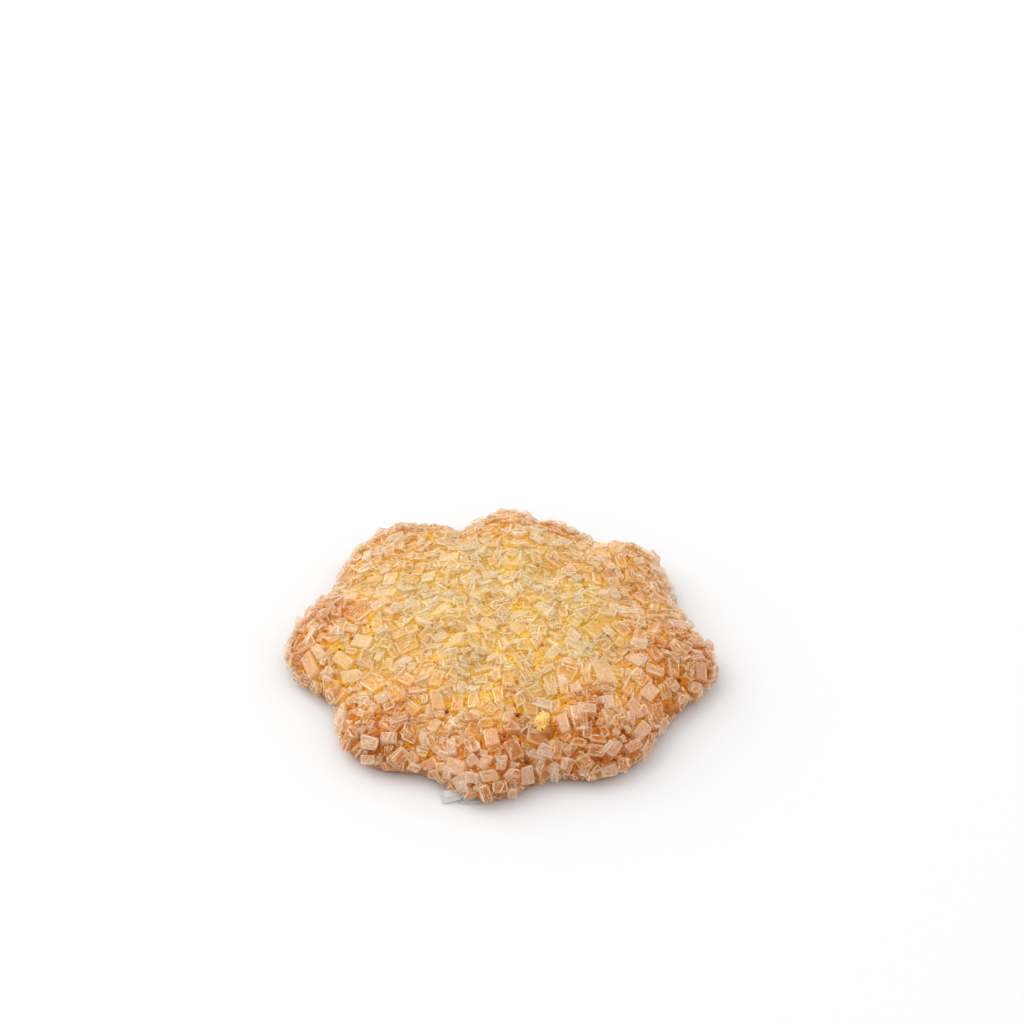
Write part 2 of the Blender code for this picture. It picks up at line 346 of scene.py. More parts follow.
# The crumb, the specks and the brown flecks, one of them a painted shadow: the scale of their patches and
# their roughness, and what they share.
CRUMB_MOTTLE = (900.0, 0.7)
SPECK_MOTTLE = (1500.0, 0.6)
FLECK_MOTTLE = (900.0, 0.6)
MOTTLE_DETAIL = (3.0, 0.6)
MOTTLE_SHINE = 0.2
MOTTLE_BUMP = 0.0001

# The sugars' alpha, transmission and roughness.
FACE_FINISH = (0.50, 0.6, 0.08)
EDGE_FINISH = (0.42, 0.15, 0.2)
MILKY_FINISH = (0.54, 0.45, 0.12)
GLINT_FINISH = (0.5, 0.1, 0.15)
WHITE_FINISH = (0.62, 0.4, 0.12)
PALE_AND_GLINT_FINISH = (0.6, 0.5, 0.1)
CLEAR_FINISH = (0.6, 0.4, 0.12)
CLEAR_EDGE_FINISH = (0.7, 0.1, 0.12)

# What all the sugars share: pale rims, which are painted highlights along the edges, milkiness, streaks and
# fine grain, each with its band or its strength. Crystals above MILKY_FROM have milky faces, and GLINT_SHARE
# of the rounded edges are painted bright, as glints.
SUGAR_IOR = 1.28
SHADE_SPREAD = 0.35
SUGAR_BUMP = 0.00006
STREAK_NOISE = (2.2, 3.0, 0.6)
HIGHLIGHT_BREAK_NOISE = (1.1, 2.0, 0.5)
RIM_HIGHLIGHT_BAND = (0.70, 1.0)
RIM_HIGHLIGHT_STRENGTH = 0.6
RIM_HIGHLIGHT_BREAKS = (0.42, 0.62)
MILK_BAND = (0.52, 1.0)
MILK_STRENGTH = 0.8
MILKY_FROM = 0.4
GLINT_SHARE = 0.12
SUGAR_GRAIN = (3000.0, 1.8)
STREAK_BAND = (0.42, 0.75)
STREAK_STRENGTH = 0.8
STREAK_STRETCH = (0.35, 1.3, 1.3)

# The floor, the camera and the light, in metres. The lens and the sensor are in millimetres.
FLOOR_COLOUR = (0.70, 0.70, 0.705)
FLOOR_SIZE = 6.0
FLOOR_ROUGHNESS = 0.9
FLOOR_SHINE = 0.1
CAMERA_PLACE = (0.00168, -0.4586, 0.3648)
CAMERA_PITCH = math.radians(53.77)
CAMERA_LENS = 135.0
CAMERA_SENSOR = 36.0
CAMERA_NEAR = 0.01
WORLD_STRENGTH = 1.16
KEY_POWER = 8.6
KEY_SIZE = 1.3
KEY_PLACE = (-0.75, 0.45, 0.85)
KEY_TARGET = (0.0, 0.0, 0.0)
KEY_COLOUR = (1.0, 0.99, 0.97)


def smooth_step(low, high, value):
    """0 below low and 1 above high, with a smooth rise between."""
    share = np.clip((value - low) / (high - low), 0.0, 1.0)
    return share * share * (3.0 - 2.0 * share)


def lobe_place(theta):
    """The lobe that comes before each bearing, the one after, and the share of the way between them."""
    turn = np.mod(theta - BEARINGS[0], math.tau)
    before = np.searchsorted(BEARINGS - BEARINGS[0], turn, side="right") - 1
    after = (before + 1) % len(LOBES)
    gap = np.mod(BEARINGS[after] - BEARINGS[before], math.tau)
    return before, after, (turn - (BEARINGS[before] - BEARINGS[0])) / gap


def crest(theta):
    """1 at each lobe's tip and 0 in each notch."""
    return 0.5 + 0.5 * np.cos(math.tau * lobe_place(theta)[2])


def outline_radius(theta):
    """The radius of the dough's widest outline, in millimetres."""
    before, after, share = lobe_place(theta)
    blend = smooth_step(0.0, 1.0, share)
    tip = TIP_RADII[before] + (TIP_RADII[after] - TIP_RADII[before]) * blend
    sharpness = SHARPNESS[before] + (SHARPNESS[after] - SHARPNESS[before]) * blend
    notch = NOTCH_RADII[before]
    return notch + (tip - notch) * crest(theta) ** sharpness


def swell(x, y):
    """Low, uneven waves in the crust: a sum of plane waves in random directions, in millimetres."""
    draw = np.random.default_rng(SWELL_SEED)
    total = np.zeros_like(x)
    for _ in range(SWELL_COUNT):
        heading, phase = draw.uniform(0.0, math.tau, 2)
        pitch = math.tau / draw.uniform(*SWELL_LENGTHS)
        total += np.sin(pitch * (x * math.cos(heading) + y * math.sin(heading)) + phase)
    return total * SWELL_RISE / math.sqrt(SWELL_COUNT / 2.0)


def skin(theta, along):
    """Points of the dough's surface, in millimetres.

    along is 0 at the summit, 1 at the widest outline and 2 where the underside's flat foot begins.
    """
    over = np.clip(along, 0.0, 1.0) * math.pi / 2.0
    under = np.clip(along - 1.0, 0.0, 1.0) * math.pi / 2.0
    share = np.sin(over)
    radius = outline_radius(theta) * share - FOOT_INSET * (1.0 - np.cos(under))
    drift = 1.0 - share**2
    x = radius * np.cos(theta) + SUMMIT[0] * drift
    y = radius * np.sin(theta) + SUMMIT[1] * drift

    slope = np.clip(np.cos(share * math.pi / 2.0), 0.0, 1.0) ** DOME_POWER
    dome = RIM_HEIGHT + (CENTRE_HEIGHT - RIM_HEIGHT) * slope
    relief = RIDGE_GAIN * (outline_radius(theta) - MEAN_RADIUS) * smooth_step(RIDGE_STARTS, RIDGE_FULL, share)
    edge = np.clip(1.0 - share**EDGE_POWER, 0.0, 1.0) ** (1.0 / EDGE_ROUNDNESS)
    top = WAIST_HEIGHT + (dome + relief + swell(x, y) - WAIST_HEIGHT) * edge
    return np.stack([x, y, top - WAIST_HEIGHT * np.sin(under)], axis=-1)


def skin_slopes(theta, along, step=1e-4):
    """Outward normals of the surface. Their lengths are the area for each unit of theta and along."""
    across = skin(theta + step, along) - skin(theta - step, along)
    down = skin(theta, along + step) - skin(theta, along - step)
    return np.cross(down, across) / (4.0 * step * step)


def unit(vectors):
    """The vectors at length 1."""
    return vectors / np.maximum(np.linalg.norm(vectors, axis=-1, keepdims=True), 1e-9)


def browning_and_shade(points):
    """How brown the crust is, from 0 in the pale middle to 1 at the rim, for points in millimetres.

    Towards the front right it is partly painted shade, and at the back partly painted light.
    """
    x, y, z = points[:, 0], points[:, 1], points[:, 2]
    theta = np.arctan2(y, x)
    outline = outline_radius(theta)
    wide = np.array([noise.noise(Vector(p) / WIDE_PATCH) for p in points])
    fine = np.array([noise.noise(Vector(p) / FINE_PATCH) for p in points])
    share = np.hypot(x, y) / outline + RIM_WAVER * wide
    rim = smooth_step(*RIM_BROWN_BAND, share)
    ridge = (outline - MEAN_RADIUS) / RIDGE_RISE * smooth_step(*RIDGE_BROWN_BAND, share)
    # Browner towards the front right and paler at the back: partly real browning, partly painted shade and
    # light.
    turned = np.cos(theta - BROWN_AND_SHADED_BEARING) * smooth_step(*TURNED_BAND, share)
    back = np.clip(np.sin(theta), 0.0, 1.0) * smooth_step(*TURNED_BAND, share)
    low = smooth_step(*LOW_BAND, z)
    place = RIM_BROWN * rim + RIDGE_BROWN * ridge + TURNED_BROWN_AND_SHADE * turned
    place = place - BACK_PALER_AND_LIT * back + LOW_BROWN * low
    return np.clip(LEAST_BROWN + place + WIDE_GAIN * wide + FINE_GAIN * fine, 0.0, 1.0)


def crust_tints(points):
    """The dough's attributes: how brown it is, with some painted shade, and where it turns into the plain tan
    foot.
    """
    return {"browning_and_shade": browning_and_shade(points), "foot": smooth_step(*FOOT_BAND, points[:, 2])}


def mesh_object(name, points, faces, materials, attributes=None, smooth=False, slots=None):
    """A mesh object from points in millimetres and faces of one size, or a list of arrays of faces."""
    groups = faces if isinstance(faces, list) else [faces]
    corners = np.concatenate([group.ravel() for group in groups]).astype(np.int32)
    sizes = np.concatenate([np.full(len(group), group.shape[1]) for group in groups])
    mesh = bpy.data.meshes.new(name)
    mesh.vertices.add(len(points))
    mesh.vertices.foreach_set("co", (points * MM).astype(np.float32).ravel())
    mesh.loops.add(len(corners))
    mesh.loops.foreach_set("vertex_index", corners)
    mesh.polygons.add(len(sizes))
    mesh.polygons.foreach_set("loop_start", np.concatenate([[0], np.cumsum(sizes)[:-1]]).astype(np.int32))
    mesh.polygons.foreach_set("use_smooth", np.full(len(sizes), smooth))
    for key, values in (attributes or {}).items():
        if values.ndim == 1:
            layer = mesh.attributes.new(key, "FLOAT", "POINT")
            layer.data.foreach_set("value", values.astype(np.float32))
        else:
            layer = mesh.attributes.new(key, "FLOAT_VECTOR", "POINT")
            layer.data.foreach_set("vector", values.astype(np.float32).ravel())
    for material in materials:
        mesh.materials.append(material)
    if slots is not None:
        mesh.polygons.foreach_set("material_index", slots.astype(np.int32))
    mesh.update(calc_edges=True)
    mesh.validate()
    piece = bpy.data.objects.new(name, mesh)
    bpy.context.scene.collection.objects.link(piece)
    return piece


def rough(points, normals, layers):
    """Points pushed along their normals by layers of noise, each with its rise and length in millimetres."""
    push = np.zeros(len(points))
    for rise, length in layers:
        push += rise * np.array([noise.noise(Vector(p) / length) for p in points])
    return points + normals * push[:, None]


def dough_piece(material):
    """The dough: rings from the summit over the edge to the foot, and a flat underside."""
    theta = np.arange(SPOKES) * math.tau / SPOKES
    top = np.linspace(0.0, 1.0, TOP_RINGS + 1)[1:]
    side = np.linspace(1.0, 2.0, SIDE_RINGS + 1)[1:]
    levels = np.concatenate([top, side])
    grid_theta, grid_along = np.meshgrid(theta, levels)
    grid_theta, grid_along = grid_theta.ravel(), grid_along.ravel()
    shell = skin(grid_theta, grid_along)
    normals = unit(skin_slopes(grid_theta, grid_along))
    fade = smooth_step(2.0, 1.7, grid_along)[:, None]
    shell = shell + (rough(shell, normals, GRAIN_RELIEF) - shell) * fade
    summit = skin(np.zeros(1), np.zeros(1))
    foot = shell[-SPOKES:]
    shares = np.linspace(1.0, 0.0, UNDER_RINGS + 1)[1:-1]
    under = np.concatenate([foot * (share, share, 0.0) for share in shares])
    points = np.concatenate([shell, under, summit, [[0.0, 0.0, 0.0]]])

    ring_count = len(levels) + len(shares)
    here = np.arange(SPOKES)
    ahead = (here + 1) % SPOKES
    quads = []
    for ring in range(ring_count - 1):
        a, b = ring * SPOKES, (ring + 1) * SPOKES
        quads.append(np.stack([a + here, b + here, b + ahead, a + ahead], axis=1))
    last = (ring_count - 1) * SPOKES
    summit_index, middle_index = len(points) - 2, len(points) - 1
    caps = np.concatenate(
        [
            np.stack([np.full(SPOKES, summit_index), here, ahead], axis=1),
            np.stack([last + ahead, last + here, np.full(SPOKES, middle_index)], axis=1),
        ]
    )
    return mesh_object(
        "dough", points, [np.concatenate(quads), caps], [material], crust_tints(points), smooth=True
    )


def crust_at(theta, along):
    """Points of the crust, and their outward normals at length 1."""
    return skin(theta, along), unit(skin_slopes(theta, along))


def scattered_spots(draw, count):
    """Random places on the top and the side, even by area: their points and outward normals."""
    spokes, steps = SCATTER_CELLS
    theta, along = np.meshgrid(
        np.arange(spokes) * math.tau / spokes, np.linspace(0.0, SCATTER_END, steps + 1)[1:], indexing="ij"
    )
    theta, along = theta.ravel(), along.ravel()
    area = np.linalg.norm(skin_slopes(theta, along), axis=1)
    picks = draw.choice(len(theta), count, p=area / area.sum())
    theta = theta[picks] + draw.uniform(-0.5, 0.5, count) * math.tau / spokes
    along = along[picks] + draw.uniform(-0.5, 0.5, count) * SCATTER_END / steps
    return crust_at(theta, along)


def upright_axes(normal, turn, tilt):
    """A crystal's length, width and thickness axes: turned about the crust's normal, and tilted a little."""
    upright = Vector(normal).to_track_quat("Z", "Y").to_matrix()
    return upright @ Matrix.Rotation(turn, 3, "Z") @ Matrix.Rotation(tilt, 3, "X")


def lying_axes(normal, heading):
    """A crystal's axes: its face lies in the crust, and its length has this heading as seen from above."""
    x, y = math.cos(heading), math.sin(heading)
    length = Vector((x, y, -(normal[0] * x + normal[1] * y) / normal[2])).normalized()
    upward = Vector(normal)
    return Matrix((length, upward.cross(length), upward)).transposed()


def listed_crystals(rows, thickness, embedded):
    """The sizes, centres and axes of listed crystals, and how milky each is."""
    bearings, alongs, headings, lengths, widths, milk = np.array(rows).T
    points, normals = crust_at(np.radians(bearings), alongs)
    sizes = np.stack([lengths, widths, np.full(len(rows), thickness)], axis=1)
    centres = points + normals * thickness * (0.5 - embedded)
    axes = [np.array(lying_axes(normal, heading)) for normal, heading in zip(normals, np.radians(headings))]
    return [sizes, centres, np.array(axes)], milk


def two_discs(size, middle, axes):
    """The middles of the two discs side by side that a crystal takes up."""
    aside = axes[:, 0] * (size[0] - size[1]) / 2.0
    return middle - aside, middle + aside


class Seats:
    """The places taken so far: each crystal holds two discs side by side."""

    def __init__(self, room):
        """Empty seats for this many discs."""
        self.discs = np.empty((room, 3))
        self.reaches = np.empty(room)
        self.used = 0

    def free(self, spots, reach):
        """True if discs of this reach at these spots clear all that is taken."""
        taken, reaches = self.discs[: self.used], self.reaches[: self.used]
        return not any(np.any(np.linalg.norm(taken - spot, axis=1) < reaches + reach) for spot in spots)

    def take(self, spots, reach):
        """Takes discs of this reach at these spots."""
        for spot in spots:
            self.discs[self.used] = spot
            self.reaches[self.used] = reach
            self.used += 1


def crystals(kind, seats):
    """One kind's crystals: sizes, centres and axes. Each finds a free seat in the crust."""
    draw = np.random.default_rng(kind.seed)
    points, normals = scattered_spots(draw, kind.tries)
    lengths = draw.uniform(*kind.lengths, kind.tries)
    widths = lengths * draw.uniform(*kind.width_shares, kind.tries)
    thicknesses = draw.uniform(*kind.thicknesses, kind.tries)
    turns = draw.uniform(0.0, math.tau, kind.tries)
    most = math.radians(kind.tilt)
    tilts = draw.uniform(-most, most, kind.tries)
    sinks = draw.uniform(*kind.embedded, kind.tries)
    kept = []
    for i in range(kind.tries):
        axes = np.array(upright_axes(normals[i], turns[i], tilts[i]))
        size = np.array((lengths[i], widths[i], thicknesses[i]))
        centre = points[i] + normals[i] * thicknesses[i] * (0.5 - sinks[i])
        if normals[i][2] > kind.flattest or centre[2] - np.abs(axes[2]) @ size / 2.0 < kind.lowest:
            continue
        reach = widths[i] / 2.0 * kind.spacing
        spots = two_discs(size, points[i], axes)
        if seats.free(spots, reach):
            seats.take(spots, reach)
            kept.append((size, centre, axes))
        if len(kept) == kind.count:
            break
    return [np.array(column) for column in zip(*kept)]


# A cube's corners, and its faces by corner.
CORNERS = np.array([(x, y, z) for x in (-1, 1) for y in (-1, 1) for z in (-1, 1)], float)
CUBE_FACES = np.array([(0, 1, 3, 2), (4, 6, 7, 5), (0, 4, 5, 1), (2, 3, 7, 6), (0, 2, 6, 4), (1, 5, 7, 3)])

# The directions that round off one corner of a crystal: along each axis, halfway between each two, and the
# middle. BETWEEN gives the direction halfway between two axes.
ROUNDING = np.array([(1, 0, 0), (0, 1, 0), (0, 0, 1), (1, 1, 0), (0, 1, 1), (1, 0, 1), (1, 1, 1)], float)
ROUNDING /= np.linalg.norm(ROUNDING, axis=1, keepdims=True)
BETWEEN = {frozenset((0, 1)): 3, frozenset((1, 2)): 4, frozenset((0, 2)): 5}
MIDDLE = 6
CORNER_POINTS = len(ROUNDING)


def crystal_faces():
    """A rounded block's faces: its six flat sides, and the quads of its rounded edges and corners.

    Point CORNER_POINTS * corner + k is corner's k-th rounding direction.
    """
    flat, rounded = [], []

    def point(signs, k):
        corner = int(signs[0] > 0) * 4 + int(signs[1] > 0) * 2 + int(signs[2] > 0)
        return CORNER_POINTS * corner + k

    def outward(face):
        spots = np.array([CORNERS[i // CORNER_POINTS] * (2.0 + ROUNDING[i % CORNER_POINTS]) for i in face])
        normal = np.cross(spots[2] - spots[0], spots[3] - spots[1])
        return face if normal @ spots.mean(axis=0) > 0 else face[::-1]

    for axis in range(3):
        one, two = (axis + 1) % 3, (axis + 2) % 3
        half_way = BETWEEN[frozenset((one, two))]
        for side in (-1, 1):
            signs = [0, 0, 0]
            loop = []
            for a, b in ((-1, -1), (1, -1), (1, 1), (-1, 1)):
                signs[axis], signs[one], signs[two] = side, a, b
                loop.append(point(signs, axis))
            flat.append(outward(loop))
        for a in (-1, 1):
            for b in (-1, 1):
                start, end = [0, 0, 0], [0, 0, 0]
                start[axis], end[axis] = -1, 1
                start[one], start[two] = end[one], end[two] = a, b
                for k, m in ((one, half_way), (half_way, two)):
                    rounded.append(outward([point(start, k), point(end, k), point(end, m), point(start, m)]))
    for corner in CORNERS:
        for axis in range(3):
            aside = [BETWEEN[frozenset((axis, other))] for other in range(3) if other != axis]
            rounded.append(outward([point(corner, k) for k in (axis, aside[0], MIDDLE, aside[1])]))
    return np.array(flat), np.array(rounded)


FLAT_QUADS, ROUND_QUADS = crystal_faces()


def crystal_points(sizes, centres, axes, rounding, wear, draw):
    """The points and normals of many rounded blocks, and two places for each point.

    The first place runs from -1 to 1 inside the point's own block, and the second is for noise. Each corner
    has its own rounding and wanders a little, and some corners are worn away.
    """
    count = len(sizes)
    half = sizes[:, None, None, :] / 2.0
    radii = rounding * draw.uniform(*ROUNDING_SPREAD, (count, 8, 1, 1)) * ROUNDING_SHARES
    worn = draw.uniform(size=(count, 8, 1, 1)) < wear[0]
    deep = sizes[:, 1][:, None, None, None] / 2.0 * draw.uniform(*WORN_CUT, (count, 8, 1, 1)) * np.ones(3)
    radii = np.minimum(np.where(worn, deep, radii), half * MOST_ROUNDED)
    local = CORNERS[None, :, None, :] * (half - radii * (1.0 - ROUNDING[None, None]))
    normals = CORNERS[None, :, None, :] * ROUNDING[None, None] / radii
    place = (local / half).reshape(count, -1, 3)
    wander = draw.normal(0.0, wear[1], (count, 8, 1, 3)) * sizes[:, None, None, :]
    wander[..., 2] *= THICKNESS_WANDER
    local = local + wander
    local[..., 0] += SKEW * local[..., 2] * (sizes[:, 0] / sizes[:, 2])[:, None, None]
    local, normals = local.reshape(count, -1, 3), unit(normals.reshape(count, -1, 3))
    inside = local * STREAK_STRETCH + draw.uniform(0.0, NOISE_REACH, (count, 1, 3))
    points = np.einsum("nij,npj->npi", axes, local) + centres[:, None, :]
    return points, np.einsum("nij,npj->npi", axes, normals), place, inside


def crystal_piece(name, batch, rounding, seed, materials, milk=None, wear=WEAR):
    """One joined mesh of crystals; each one's brownness with painted shade, tint and milkiness are
    attributes.
    """
    sizes, centres, axes = batch
    draw = np.random.default_rng(seed)
    points, normals, place, inside = crystal_points(sizes, centres, axes, rounding, wear, draw)
    count, each = points.shape[:2]
    if milk is None:
        milk = smooth_step(*MILK_BAND, draw.uniform(size=count))
    offsets = (np.arange(count) * each)[:, None, None]
    flat = (FLAT_QUADS[None] + offsets).reshape(-1, 4)
    rounded = (ROUND_QUADS[None] + offsets).reshape(-1, 4)
    attributes = {
        "browning_and_shade": np.repeat(browning_and_shade(centres), each),
        "shade": np.repeat(draw.uniform(size=count), each),
        "milk": np.repeat(milk, each),
        "place": place.reshape(-1, 3),
        "inside": inside.reshape(-1, 3),
    }
    faces_slot = np.repeat(np.where(milk > MILKY_FROM, MILKY_SLOT, FACE_SLOT), len(FLAT_QUADS))
    # A share of the rounded edges are painted bright, as glints.
    edges_slot = np.where(draw.uniform(size=len(rounded)) < GLINT_SHARE, GLINT_SLOT, EDGE_SLOT)
    slots = np.concatenate([faces_slot, edges_slot])
    piece = mesh_object(
        name, points.reshape(-1, 3), [flat, rounded], materials, attributes, smooth=True, slots=slots
    )
    piece.data.normals_split_custom_set_from_vertices(normals.reshape(-1, 3))
    return piece


def random_turns(draw, count):
    """Rotation matrices, evenly spread over all directions, from unit quaternions."""
    w, x, y, z = unit(draw.normal(size=(count, 4))).T
    rows = (
        (1 - 2 * (y * y + z * z), 2 * (x * y - z * w), 2 * (x * z + y * w)),
        (2 * (x * y + z * w), 1 - 2 * (x * x + z * z), 2 * (y * z - x * w)),
        (2 * (x * z - y * w), 2 * (y * z + x * w), 1 - 2 * (x * x + y * y)),
    )
    return np.moveaxis(np.array(rows), 2, 0)


def grain_piece(name, kind, shape, seats, sunk, material, smooth):
    """One joined mesh of grains, strewn in the gaps between the crystals."""
    seed, count, widths = kind
    corners, faces = shape
    draw = np.random.default_rng(seed)
    points, normals = scattered_spots(draw, count)
    sizes = draw.uniform(*widths, count)
    high = points[:, 2] > LOWEST_GRAIN + sizes
    open_spots = [i for i in range(count) if high[i] and seats.free((points[i],), 0.0)]
    points, normals, sizes = points[open_spots], normals[open_spots], sizes[open_spots]
    count = len(sizes)
    uneven = draw.uniform(*GRAIN_SHAPES, (count, 1, 3))
    local = corners[None] * uneven * sizes[:, None, None] / 2.0
    centres = points + normals * (sizes * (0.5 - sunk))[:, None]
    placed = np.einsum("nij,npj->npi", random_turns(draw, count), local) + centres[:, None, :]
    joined = (faces[None] + (np.arange(count) * len(corners))[:, None, None]).reshape(-1, faces.shape[1])
    tints = crust_tints(centres)
    tints["browning_and_shade"] = np.clip(tints["browning_and_shade"] + draw.normal(0.0, GRAIN_TINT_SPREAD, count), 0.0, 1.0)
    tints = {key: np.repeat(values, len(corners)) for key, values in tints.items()}
    shade = np.repeat(draw.uniform(size=count), len(corners))
    inside = (local + draw.uniform(0.0, NOISE_REACH, (count, 1, 3))).reshape(-1, 3)
    attributes = {**tints, "shade": shade, "milk": shade, "inside": inside}
    return mesh_object(name, placed.reshape(-1, 3), joined, [material], attributes, smooth=smooth)


def lumps(name, spots, widths, relief, material, splits=LUMP_SPLITS):
    """One joined mesh of uneven lumps of these widths at these spots."""
    mesh = bmesh.new()
    bmesh.ops.create_icosphere(mesh, subdivisions=splits, radius=0.5)
    ball = np.array([v.co[:] for v in mesh.verts])
    faces = np.array([[v.index for v in face.verts] for face in mesh.faces])
    mesh.free()
    balls = [ball * width + spot for spot, width in zip(spots, widths)]
    points = rough(np.concatenate(balls), np.tile(unit(ball), (len(spots), 1)), relief)
    joined = np.concatenate([faces + i * len(ball) for i in range(len(spots))])
    return mesh_object(name, points, joined, [material], smooth=True)


def crumb_piece(material):
    """The yellow crumb: grains of dough heaped in an oval."""
    seed, count, widths = CRUMB_GRAINS
    draw = np.random.default_rng(seed)
    bearing, along = CRUMB_PLACE
    spot, normal = crust_at(np.radians([bearing]), np.array([along]))
    axes = np.array(lying_axes(normal[0], math.radians(CRUMB_HEADING)))
    inside = unit(draw.normal(size=(count, 3))) * draw.uniform(*CRUMB_DEPTHS, (count, 1))
    inside[:, 2] = np.abs(inside[:, 2])
    spots = spot + (inside * CRUMB_SIZE * (0.5, 0.5, 1.0)) @ axes.T
    return lumps("dough_crumb", spots, draw.uniform(*widths, count), CRUMB_RELIEF, material, CRUMB_SPLITS)


def speck_piece(name, rows, sunk, relief, material):
    """Specks or brown flecks, sunk in the crust by a share of their width, or resting on it where that is 0.
    """
    bearings, alongs, widths = np.array(rows).T
    points, normals = crust_at(np.radians(bearings), alongs)
    spots = points + normals * (widths * (0.5 - sunk))[:, None]
    return lumps(name, spots, widths, relief, material)


def line_piece(kind, batches, material):
    """Growth lines on the crystals' upper faces: thin bars along each one's length, as one joined mesh.

    They are painted bright, as glints.
    """
    seed, count, lengths, widths = kind
    draw = np.random.default_rng(seed)
    sizes, centres, axes = (np.concatenate(column) for column in zip(*batches))
    area = sizes[:, 0] * sizes[:, 1]
    picks = draw.choice(len(sizes), count, p=area / area.sum())
    sizes, centres, axes = sizes[picks], centres[picks], axes[picks]
    bars = np.full((count, 3), LINE_HEIGHT)
    bars[:, 0] = np.minimum(draw.uniform(*lengths, count), sizes[:, 0] * LONGEST_LINE)
    bars[:, 1] = draw.uniform(*widths, count)
    middles = draw.uniform(-LINE_SPREAD, LINE_SPREAD, (count, 3)) * (sizes - bars)
    middles[:, 2] = sizes[:, 2] / 2.0
    middles[:, 0] += SKEW * sizes[:, 0] / 2.0
    local = CORNERS[None] * bars[:, None, :] / 2.0 + middles[:, None, :]
    placed = np.einsum("nij,npj->npi", axes, local) + centres[:, None, :]
    each = len(CORNERS)
    joined = (CUBE_FACES[None] + (np.arange(count) * each)[:, None, None]).reshape(-1, 4)
    attributes = {
        "browning_and_shade": np.repeat(browning_and_shade(centres), each),
        "shade": np.repeat(draw.uniform(size=count), each),
        "milk": np.ones(count * each),
        "inside": local.reshape(-1, 3),
    }
    return mesh_object("glinting_growth_lines", placed.reshape(-1, 3), joined, [material], attributes)


def pebble():
    """An icosahedron: its corners and faces."""
    mesh = bmesh.new()
    bmesh.ops.create_icosphere(mesh, subdivisions=1, radius=1.0)
    corners = np.array([v.co[:] for v in mesh.verts])
    faces = np.array([[v.index for v in face.verts] for face in mesh.faces])
    mesh.free()
    return corners, faces


class Nodes:
    """A small helper that adds shader nodes and links them."""

    def __init__(self, material):
        """Takes the material's own shader and node tree."""
        self.tree = material.node_tree
        self.shader = self.tree.nodes["Principled BSDF"]

    def add(self, kind, **settings):
        """Adds a node with these settings."""
        node = self.tree.nodes.new(kind)
        for key, value in settings.items():
            setattr(node, key, value)
        return node

    def link(self, source, target):
        """Joins an output to an input."""
        self.tree.links.new(source, target)

    def ramp(self, factor, stops):
        """A colour ramp through these stops."""
        node = self.add("ShaderNodeValToRGB")
        elements = node.color_ramp.elements
        while len(elements) < len(stops):
            elements.new(0.5)
        for element, (place, colour) in zip(elements, stops):
            element.position = place
            element.color = (*colour, 1.0)
        self.link(factor, node.inputs["Fac"])
        return node.outputs["Color"]

    def attribute(self, name):
        """A number that the mesh carries."""
        return self.add("ShaderNodeAttribute", attribute_name=name).outputs["Fac"]

    def noise(self, scale, detail=2.0, roughness=0.5, place=None):
        """Noise in object space, or at a place."""
        place = place or self.add("ShaderNodeTexCoord").outputs["Object"]
        node = self.add("ShaderNodeTexNoise")
        node.inputs["Scale"].default_value = scale
        node.inputs["Detail"].default_value = detail
        node.inputs["Roughness"].default_value = roughness
        self.link(place, node.inputs["Vector"])
        return node.outputs["Fac"]

    def mix(self, factor, first, second):
        """The first colour at 0, and the second at 1."""
        node = self.add("ShaderNodeMix", data_type="RGBA")
        self.link(factor, node.inputs["Factor"])
        self.link(first, node.inputs["A"])
        self.link(second, node.inputs["B"])
        return node.outputs["Result"]

    def between(self, value, low, high):
        """0 at low and 1 at high, with a smooth rise."""
        node = self.add("ShaderNodeMapRange", interpolation_type="SMOOTHSTEP")
        node.inputs["From Min"].default_value = low
        node.inputs["From Max"].default_value = high
        self.link(value, node.inputs["Value"])
        return node.outputs["Result"]

    def rim(self, low, high):
        """0 in the middle of a crystal's sides, and 1 towards its edges."""
        split = self.add("ShaderNodeSeparateXYZ")
        self.link(self.add("ShaderNodeAttribute", attribute_name="place").outputs["Vector"], split.inputs[0])
        sides = [self.math("ABSOLUTE", output, 0.0) for output in split.outputs]
        pairs = [self.math("MINIMUM", a, b) for a, b in (sides[:2], sides[1:], sides[::2])]
        return self.between(self.math("MAXIMUM", self.math("MAXIMUM", *pairs[:2]), pairs[2]), low, high)

    def math(self, operation, first, second):
        """Arithmetic on two numbers or outputs."""
        node = self.add("ShaderNodeMath", operation=operation)
        for socket, value in zip(node.inputs, (first, second)):
            if isinstance(value, (int, float)):
                socket.default_value = value
            else:
                self.link(value, socket)
        return node.outputs[0]

    def bump(self, height, distance):
        """Lifts the shader's surface by a height."""
        node = self.add("ShaderNodeBump")
        node.inputs["Distance"].default_value = distance
        self.link(height, node.inputs["Height"])
        self.link(node.outputs["Normal"], self.shader.inputs["Normal"])


def new_material(name):
    """A new material, and the helper for its nodes."""
    material = bpy.data.materials.new(name)
    material.use_nodes = True
    return material, Nodes(material)


